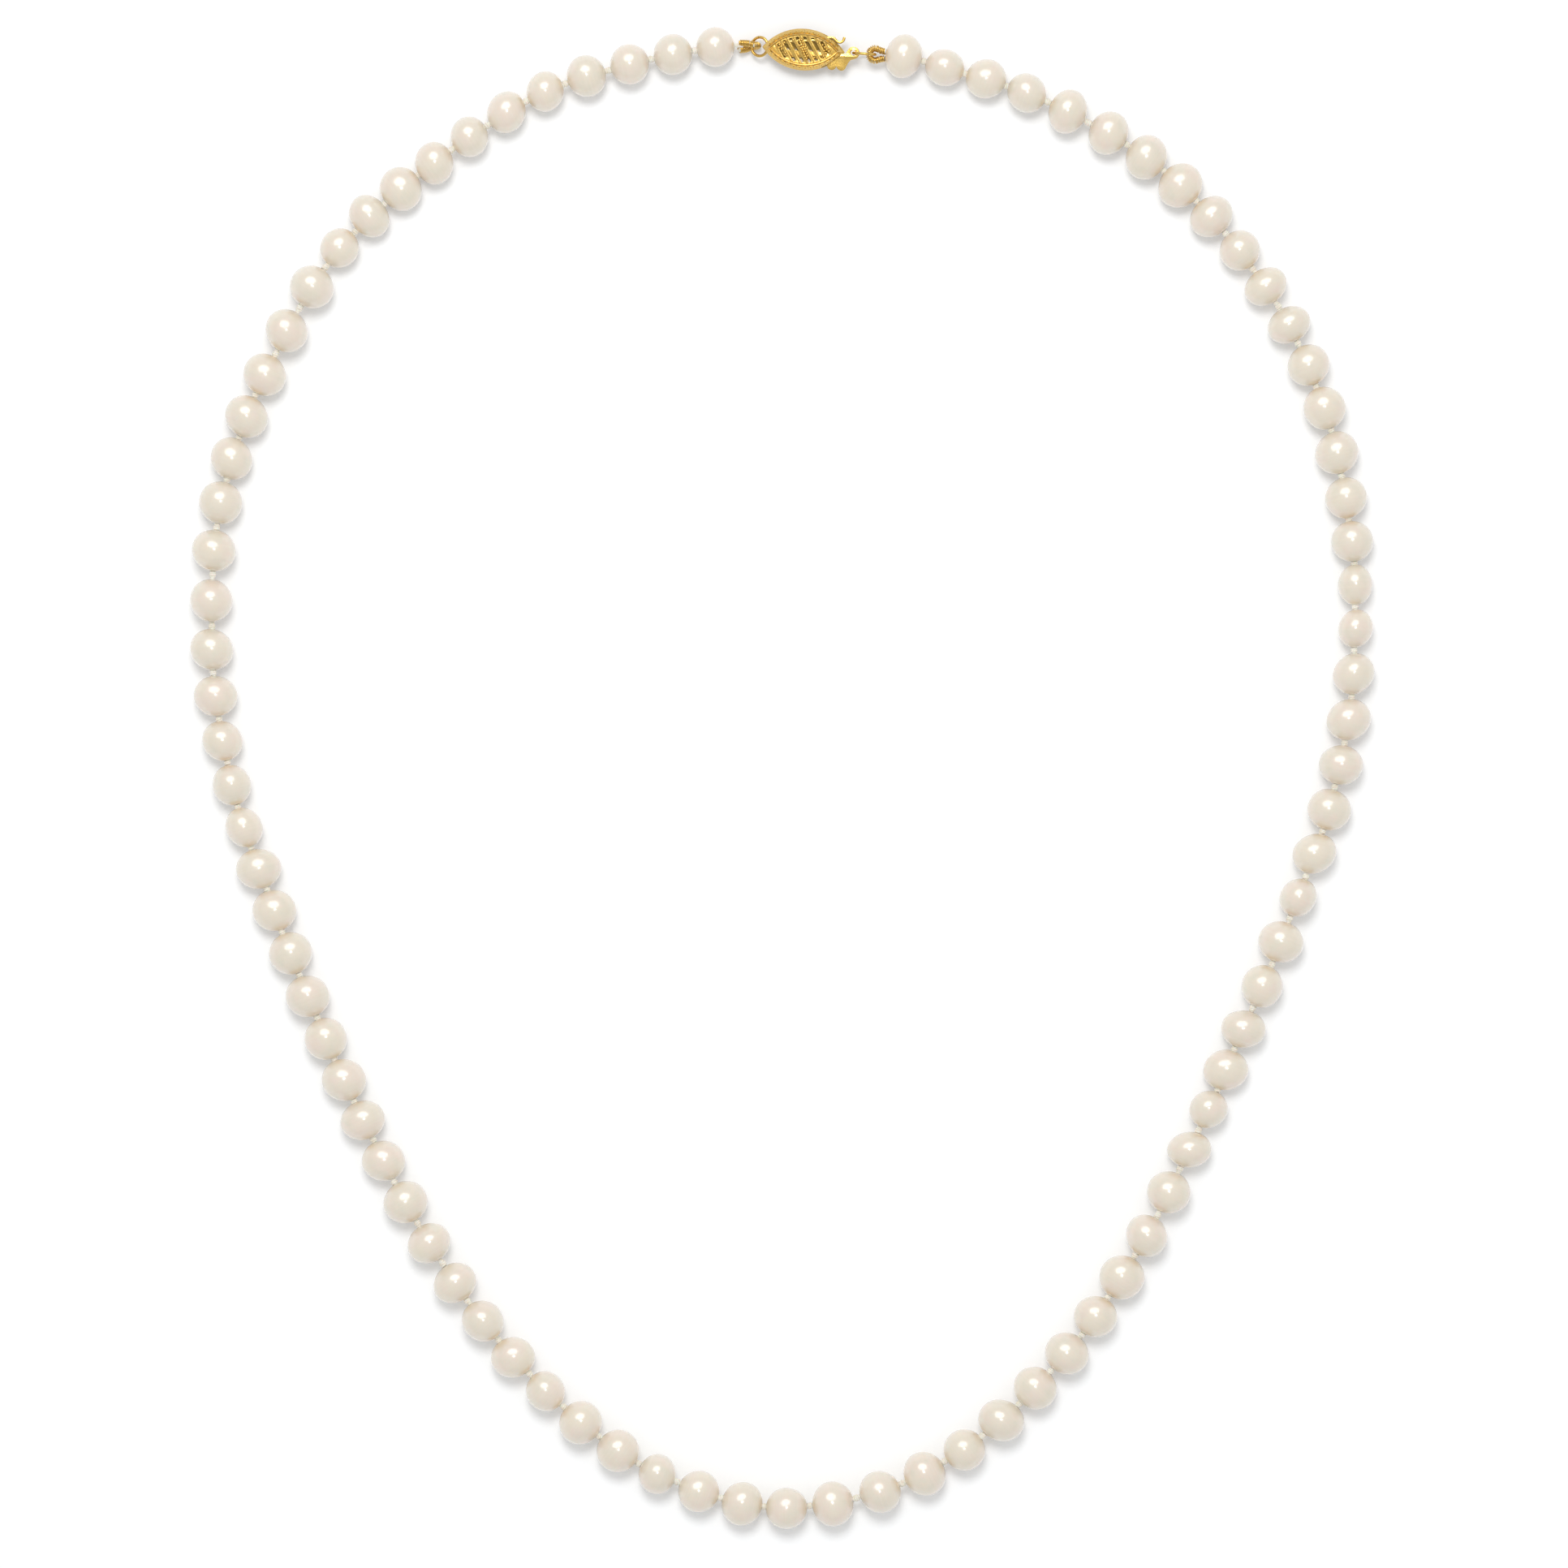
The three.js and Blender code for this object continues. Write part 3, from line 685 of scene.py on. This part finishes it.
def case_half(name, section, hollow):
    """Pointed ovals bridged along a section: a hollow wall all round it, or a solid with flat ends."""
    bm = bmesh.new()
    loops = [pointed_oval(bm, inset, height) for inset, height in section]
    onward = loops[1:] + loops[:1] if hollow else loops[1:]
    for one, other in zip(loops, onward):
        bmesh.ops.bridge_loops(bm, edges=one + other)
    if not hollow:
        for end in (loops[0], loops[-1]):
            bmesh.ops.holes_fill(bm, edges=end, sides=0)
    bmesh.ops.recalc_face_normals(bm, faces=bm.faces)
    return mesh_from(bm, name)


def after_modifiers(work):
    """The mesh an object ends up with after its modifiers. The object is used up."""
    bpy.context.view_layer.update()
    done = bpy.data.meshes.new_from_object(work.evaluated_get(bpy.context.evaluated_depsgraph_get()))
    bpy.data.objects.remove(work)
    return done


def cut_by(mesh, cutters):
    """The mesh less each cutter mesh."""
    work = bpy.data.objects.new("work", mesh)
    collection.objects.link(work)
    tools = []
    for cutter in cutters:
        tool = bpy.data.objects.new("tool", cutter)
        collection.objects.link(tool)
        tools.append(tool)
        cut = work.modifiers.new("cut", "BOOLEAN")
        cut.operation = "DIFFERENCE"
        cut.solver = "EXACT"
        cut.object = tool
    done = after_modifiers(work)
    for tool in tools:
        bpy.data.objects.remove(tool)
    return done


def block(low, high, turn=0.0, round_corners=0.0, segments=4):
    """A box between two corners, with its upright edges rounded, turned about Z."""
    bm = bmesh.new()
    bmesh.ops.create_cube(bm, size=1)
    low, high = Vector(low), Vector(high)
    bmesh.ops.scale(bm, vec=high - low, verts=bm.verts)
    bmesh.ops.translate(bm, vec=(low + high) / 2, verts=bm.verts)
    if round_corners:
        upright = [e for e in bm.edges if abs(e.verts[0].co.z - e.verts[1].co.z) > 1e-6]
        bmesh.ops.bevel(bm, geom=upright, offset=round_corners, offset_type="OFFSET", affect="EDGES",
                        segments=segments, profile=0.5, material=-1)
    bmesh.ops.rotate(bm, cent=(0, 0, 0), matrix=Matrix.Rotation(turn, 3, "Z"), verts=bm.verts)
    return bm


def softened(mesh, width, segments=2):
    """The mesh with its sharp edges rounded off."""
    work = bpy.data.objects.new("work", mesh)
    collection.objects.link(work)
    bevel = work.modifiers.new("soften", "BEVEL")
    bevel.width = width
    bevel.segments = segments
    bevel.limit_method = "ANGLE"
    bevel.angle_limit = math.radians(40)
    return after_modifiers(work)


def ring_way():
    """A fat copy of the end ring's wire, which clears its way through the left tip."""
    bm = bmesh.new()
    place = Matrix.Translation((END_RING_RADIUS, 0, 0)) @ Matrix.Rotation(math.pi / 2, 4, "X")
    bmesh.ops.create_circle(bm, cap_ends=False, segments=12, radius=WIRE_RADIUS + RING_CLEARANCE,
                            matrix=place)
    bmesh.ops.spin(bm, geom=list(bm.edges), cent=(0, 0, 0), axis=(0, 0, 1), angle=2 * math.pi,
                   steps=40, use_merge=True)
    bmesh.ops.recalc_face_normals(bm, faces=bm.faces)
    return mesh_from(bm, "way", Matrix.Translation((END_RING_X, 0, -END_DROP))
                     @ Matrix.Rotation(math.radians(-END_RING_TILT), 4, "Y"))


def mouth_cut():
    """A block that opens both halves at the right point, where the hook slides in."""
    low = (TIP - MOUTH_LENGTH, -PAST_CASE, -MOUTH_HEIGHT / 2)
    return mesh_from(block(low, (PAST_CASE, PAST_CASE, MOUTH_HEIGHT / 2)), "mouth")


def finished(mesh):
    """From the clasp's own millimetres to its place."""
    mesh.transform(CLASP @ Matrix.Scale(MM, 4))
    return mesh


front_rim = cut_by(case_half("front", FRONT_SECTION, hollow=True), [ring_way(), mouth_cut()])
set_down("case_front_rim", finished(front_rim), cast_gold, "case_filigree_front",
         ["case_filigree_front"])

back_room = case_half("hollow", BACK_HOLLOW, hollow=False)
back_solid = case_half("back", BACK_OUTSIDE, hollow=False)
back_shell = cut_by(back_solid, [back_room, ring_way(), mouth_cut()])
set_down("case_back_shell", finished(back_shell), back_gold_painted_shade, "case_back", ["case_back"])

# ---- Lattice face ----
# A pressed plate with seven slanting slots, let into the front rim. A fine rib runs down each bar
# between two slots.

SLOTS = 7
SLOT_WIDTH = 0.36
SLOT_PITCH = 0.95
SLOT_ANGLE = math.radians(-58)
FACE_LOW = 0.88
FACE_HIGH = 1.14
FACE_INSET = 0.80
SLOT_INSET = 1.02
RIB_RADIUS = 0.075
RIB_RISE = 0.02
RIB_INSET = FACE_INSET + 0.04
LATTICE_ROUNDING = 0.045


def chord(offset, inset):
    """Ends of a slanting line that crosses the long axis at offset, where it meets an inset outline."""
    way = Vector((math.cos(SLOT_ANGLE), math.sin(SLOT_ANGLE), 0))
    ends = []
    for sense in (-1, 1):
        reach = 0.0
        while reach < 4:
            p = Vector((offset, 0, 0)) + way * reach * sense
            if abs(p.y) > math.sqrt((OUTLINE_RADIUS - inset) ** 2 - p.x**2) - OUTLINE_RISE:
                break
            reach += 0.01
        ends.append(reach * sense)
    return ends, way


plate = bmesh.new()
edge = pointed_oval(plate, FACE_INSET, FACE_LOW)
bmesh.ops.holes_fill(plate, edges=edge, sides=0)
top = bmesh.ops.extrude_face_region(plate, geom=list(plate.faces))
bmesh.ops.translate(plate, vec=(0, 0, FACE_HIGH - FACE_LOW),
                    verts=[v for v in top["geom"] if isinstance(v, bmesh.types.BMVert)])
bmesh.ops.recalc_face_normals(plate, faces=plate.faces)
slot_cutters = []
for k in range(SLOTS):
    offset = (k - (SLOTS - 1) / 2) * SLOT_PITCH
    (low, high), way = chord(offset, SLOT_INSET)
    half = SLOT_WIDTH / 2
    slot = block((low, -half, 0), (high, half, 3), SLOT_ANGLE, half * 0.98, 6)
    slot_cutters.append(mesh_from(slot, "slot", Matrix.Translation((offset, 0, 0))))
lattice = softened(cut_by(mesh_from(plate, "lattice"), slot_cutters), LATTICE_ROUNDING)
ribs = []
for k in range(SLOTS + 1):
    offset = (k - SLOTS / 2) * SLOT_PITCH
    (low, high), way = chord(offset, RIB_INSET)
    at = Vector((offset, 0, FACE_HIGH + RIB_RISE))
    ribs.append(cord_mesh("rib", [at + way * (low + (high - low) * s / 6) for s in range(7)],
                          RIB_RADIUS, sides=2))
set_down("case_lattice", finished(joined([lattice, *ribs], "case_lattice")), cast_gold,
         "case_filigree_front")

# ---- Stamped cells and grains ----
# Square cells with a dot in each run round the sloping rim. Clusters of fused grains make a small
# flower over the middle bars and a tuft near each point.

CELLS_PER_ARC = 14
CELL_LENGTH = 0.66
CELL_WIDTH = 0.60
CELL_HEIGHT = 0.13
CELL_INSET = 0.37
CELL_RISE = 0.92
CELL_SLOPE = math.atan2(0.69, 0.50)
CELL_ROUNDING = 0.045
CELL_DOT_RADIUS = 0.10
CELL_DOT_RISE = 0.08
CELLS_SHARE_OF_ARC = 0.94
GRAIN_RISE = 0.04
GRAIN_SQUASH = 0.8
GRAINS = [
    (-0.62, 1.12, 0.20), (-0.30, 1.22, 0.17), (-0.42, 0.88, 0.20), (-0.12, 0.92, 0.16),
    (-0.30, 0.58, 0.21), (0.02, 0.62, 0.18), (-0.50, 0.45, 0.15), (-0.05, 0.30, 0.22),
    (-0.32, 0.18, 0.18), (0.24, 0.34, 0.17), (-0.12, -0.02, 0.19), (0.18, 0.04, 0.20),
    (0.42, 0.12, 0.15), (0.02, -0.30, 0.20), (0.32, -0.22, 0.17), (0.14, -0.58, 0.19),
    (0.44, -0.50, 0.16), (0.30, -0.84, 0.19), (0.58, -0.78, 0.15), (0.46, -1.10, 0.18),
    (-3.02, 0.42, 0.17), (-2.78, 0.18, 0.20), (-3.05, 0.06, 0.16), (-2.72, -0.14, 0.17),
    (-2.46, 0.34, 0.15), (-2.44, 0.72, 0.18), (-2.20, 0.92, 0.15), (-2.22, -0.56, 0.16),
    (-1.98, -0.82, 0.14), (-3.32, 0.24, 0.13), (2.64, 0.44, 0.19), (2.90, 0.20, 0.20),
    (2.62, 0.02, 0.16), (3.12, -0.02, 0.16), (2.82, -0.24, 0.18), (2.36, 0.72, 0.15),
    (3.18, 0.30, 0.15), (2.30, -0.56, 0.16), (2.56, -0.66, 0.15), (3.36, 0.12, 0.13),
    (1.42, -0.92, 0.14), (-1.36, 1.12, 0.14), (1.70, 1.02, 0.14), (-0.95, 0.70, 0.13),
]

cells = bmesh.new()
span = math.asin(tip_at(CELL_INSET) / (OUTLINE_RADIUS - CELL_INSET))
for sense in (1, -1):
    for k in range(CELLS_PER_ARC):
        turn = span * (2 * (k + 0.5) / CELLS_PER_ARC - 1) * CELLS_SHARE_OF_ARC
        spot_on_rim = (
            Matrix.Rotation(0 if sense > 0 else math.pi, 4, "Z")
            @ Matrix.Translation((0, -OUTLINE_RISE, 0))
            @ Matrix.Rotation(-turn, 4, "Z")
            @ Matrix.Translation((0, OUTLINE_RADIUS - CELL_INSET, CELL_RISE))
            @ Matrix.Rotation(-CELL_SLOPE, 4, "X")
        )
        pad = bmesh.ops.create_cube(cells, size=1)["verts"]
        bmesh.ops.scale(cells, vec=(CELL_LENGTH, CELL_WIDTH, CELL_HEIGHT), verts=pad)
        rims = list({e for v in pad for e in v.link_edges})
        rounded = bmesh.ops.bevel(cells, geom=rims, offset=CELL_ROUNDING, offset_type="OFFSET",
                                  affect="EDGES", segments=2, profile=0.5, material=-1)
        pad = list({v for f in rounded["faces"] for v in f.verts})
        bmesh.ops.transform(cells, matrix=spot_on_rim, verts=pad)
        dot = bmesh.ops.create_icosphere(cells, subdivisions=2, radius=CELL_DOT_RADIUS)["verts"]
        bmesh.ops.transform(cells, matrix=spot_on_rim @ Matrix.Translation((0, 0, CELL_DOT_RISE)),
                            verts=dot)
set_down("case_rim_cells", finished(mesh_from(cells, "cells")), polished_gold, "case_filigree_front")

grains = bmesh.new()
for x, y, size in GRAINS:
    grain = bmesh.ops.create_icosphere(grains, subdivisions=2, radius=size)["verts"]
    bmesh.ops.scale(grains, vec=(1, 1, GRAIN_SQUASH), verts=grain)
    bmesh.ops.translate(grains, vec=(x, y, FACE_HIGH + GRAIN_RISE), verts=grain)
set_down("case_grains", finished(mesh_from(grains, "grains")), polished_gold, "case_filigree_front",
         crease=None)

# ---- Cross bar ----
# A short round pin of gold across the mouth of the case, which the hook catches on. Its ends are
# fused to both walls.

BAR_RADIUS = 0.20
BAR_ROUNDING = 0.04
HOOK_HALF_DEPTH = 0.5
BAR_CLEARANCE = 0.15
BAR_END_INSET = 0.72
BAR_X = TIP - MOUTH_LENGTH - 2 * BAR_RADIUS
BAR_Z = -HOOK_HALF_DEPTH - BAR_CLEARANCE - BAR_RADIUS
BAR_HALF = math.sqrt((OUTLINE_RADIUS - WALL - BAR_END_INSET) ** 2 - BAR_X**2) - OUTLINE_RISE

bar = bmesh.new()
bmesh.ops.create_cone(bar, cap_ends=True, segments=20, radius1=BAR_RADIUS, radius2=BAR_RADIUS,
                      depth=2 * BAR_HALF,
                      matrix=Matrix.Translation((BAR_X, 0, BAR_Z)) @ Matrix.Rotation(math.pi / 2, 4, "X"))
set_down("case_cross_pin", finished(softened(mesh_from(bar, "bar"), BAR_ROUNDING)), polished_gold,
         "case_cross_bar", ["case_cross_bar"])

# ---- Fish hook ----
# One flat gold plate: a straight shank that slides into the case, a scalloped guard that stays
# outside, and an eye for the jump ring.

PLATE_HALF = 0.175
PLATE_ROUNDING = 0.05
SHANK_CORNER = 0.12
SHANK_TOP = -0.15
SHANK_LOW = -1.05
SHANK_END = TIP - 8.3
GUARD_RIGHT = EYE_X - 0.78
GUARD_LEFT = GUARD_RIGHT - 2.4
SCALLOP = 0.6
GUARD_LOW = -2.3 + SCALLOP
EYE_RADIUS = 0.78
EYE_HOLE = 0.33


def arc(x, y, radius, start, end, steps):
    """Points round an arc, both ends included."""
    angles = [math.radians(start + (end - start) * k / steps) for k in range(steps + 1)]
    return [(x + radius * math.cos(a), y + radius * math.sin(a)) for a in angles]


outline = [(SHANK_END + SHANK_CORNER, SHANK_TOP), (SHANK_END, SHANK_TOP - SHANK_CORNER),
           (SHANK_END, SHANK_LOW + SHANK_CORNER), (SHANK_END + SHANK_CORNER, SHANK_LOW),
           (GUARD_LEFT, SHANK_LOW)]
outline += arc(GUARD_LEFT + SCALLOP, GUARD_LOW, SCALLOP, 180, 348, 14)
outline += arc(GUARD_LEFT + 3 * SCALLOP, GUARD_LOW, SCALLOP, 192, 350, 14)
outline += [(GUARD_RIGHT + 0.22, -1.30), (GUARD_RIGHT + 0.5, -0.92)]
outline += arc(EYE_X, 0, EYE_RADIUS, -62, 150, 24)
outline += [(GUARD_RIGHT - 0.16, SHANK_TOP)]

sheet = bpy.data.curves.new("hook", "CURVE")
sheet.dimensions = "2D"
sheet.fill_mode = "BOTH"
sheet.extrude = PLATE_HALF - PLATE_ROUNDING
sheet.bevel_depth = PLATE_ROUNDING
sheet.bevel_resolution = 2
sheet.offset = -PLATE_ROUNDING
for points in (outline, arc(EYE_X, 0, EYE_HOLE, 0, 345, 23)):
    run = sheet.splines.new("POLY")
    run.points.add(len(points) - 1)
    for spot_on_line, (x, y) in zip(run.points, points):
        spot_on_line.co = (x, y, 0, 1)
    run.use_cyclic_u = True
hook = bmesh.new()
hook.from_mesh(mesh_of_curve(sheet))
bmesh.ops.remove_doubles(hook, verts=hook.verts, dist=1e-4)
bmesh.ops.recalc_face_normals(hook, faces=hook.faces)
set_down("hook_guard_plate", finished(mesh_from(hook, "hook")), plate_gold, "hook_plate",
         ["hook_plate"])

# ---- Spring leaf ----
# A strip of hard gold folded back beside the shank. It leaves through the mouth and ends outside
# the rim in a small curl for the thumb.

LEAF_THICKNESS = 0.34
LEAF_WIDTH = 1.0
LEAF_ROUNDING = 0.05


def rim_at(x):
    """How far out the case's outline is, that far along it."""
    return math.sqrt(OUTLINE_RADIUS**2 - x**2) - OUTLINE_RISE


mouth_x = TIP - MOUTH_LENGTH
LEAF_LINE = [
    (SHANK_END, LEAF_THICKNESS / 2), (SHANK_END + 0.64, 0.64), (0, rim_at(0) * 0.42),
    (mouth_x, rim_at(mouth_x) - 0.72), (TIP - 1.69, rim_at(TIP - 1.69) + 0.15),
    (TIP - 0.75, rim_at(TIP - 0.75) + 0.34), (TIP - 0.35, 1.36), (TIP - 0.14, 1.88),
]

bend = bpy.data.curves.new("leaf", "CURVE")
bend.dimensions = "3D"
bend.resolution_u = 10
run = bend.splines.new("BEZIER")
run.bezier_points.add(len(LEAF_LINE) - 1)
for knee, (x, y) in zip(run.bezier_points, LEAF_LINE):
    knee.co = (x, y, -LEAF_WIDTH / 2)
    knee.handle_left_type = knee.handle_right_type = "AUTO"
leaf = bmesh.new()
leaf.from_mesh(mesh_of_curve(bend))
raised = bmesh.ops.extrude_edge_only(leaf, edges=list(leaf.edges))
bmesh.ops.translate(leaf, vec=(0, 0, LEAF_WIDTH),
                    verts=[v for v in raised["geom"] if isinstance(v, bmesh.types.BMVert)])
bmesh.ops.recalc_face_normals(leaf, faces=leaf.faces)
strip = bpy.data.objects.new("work", mesh_from(leaf, "leaf"))
collection.objects.link(strip)
thick = strip.modifiers.new("thick", "SOLIDIFY")
thick.thickness = LEAF_THICKNESS
thick.offset = 0
leaf_mesh = softened(after_modifiers(strip), LEAF_ROUNDING)
set_down("hook_leaf_strip", finished(leaf_mesh), polished_gold, "hook_spring_leaf",
         ["hook_spring_leaf"])

# ---- Table and light ----
# A plain white table under an even white sky. Two large soft lamps beyond the clasp end give each
# pearl its broad sheen, and a small one overhead its bright point. The key lamp shades the pearls
# and casts their shadows, but isn't mirrored in them.

TABLE_REACH = 1.5
TABLE_DROP = 0.02
SKY_STRENGTH = 0.74

table_top = bmesh.new()
bmesh.ops.create_grid(table_top, x_segments=1, y_segments=1, size=TABLE_REACH,
                      matrix=Matrix.Translation((0, 0, -TABLE_DROP * MM)))
table_mesh = mesh_from(table_top, "table")
white, shader, _ = new_finish("white_table")
wear(shader, Base_Color=(0.94, 0.945, 0.95, 1), Roughness=0.9, Specular_IOR_Level=0.1,
     Emission_Color=(1.0, 1.0, 1.0, 1), Emission_Strength=0.05)
table_mesh.materials.append(white)
table = bpy.data.objects.new("table", table_mesh)
collection.objects.link(table)


def soft_box(name, place, size, watts, key=False):
    """A lamp that faces the necklace's middle. The key only shades, and the others only shine."""
    light = bpy.data.lights.new(name, "AREA")
    light.shape = "ELLIPSE"
    light.size, light.size_y = size
    light.energy = watts
    lamp = bpy.data.objects.new(name, light)
    lamp.location = place
    lamp.rotation_mode = "QUATERNION"
    lamp.rotation_quaternion = (-Vector(place)).to_track_quat("-Z", "Y")
    lamp.visible_diffuse = key
    lamp.visible_glossy = not key
    collection.objects.link(lamp)


soft_box("key_box", (-0.05, 0.34, 0.95), (0.35, 0.35), 4.1, key=True)
soft_box("sheen_wide", (-0.12, 0.70, 0.85), (1.20, 0.85), 2.2)
soft_box("sheen_core", (-0.10, 0.58, 0.80), (0.95, 0.68), 4.0)
soft_box("overhead_box", (0.03, 0.16, 1.1), (0.17, 0.17), 1.5)

sky = bpy.data.worlds.new("studio")
sky.use_nodes = True
sky_light = sky.node_tree.nodes["Background"]
sky_light.inputs["Color"].default_value = (0.96, 0.98, 1.0, 1)
sky_light.inputs["Strength"].default_value = SKY_STRENGTH
bpy.context.scene.world = sky
bpy.context.scene.view_settings.view_transform = "Standard"
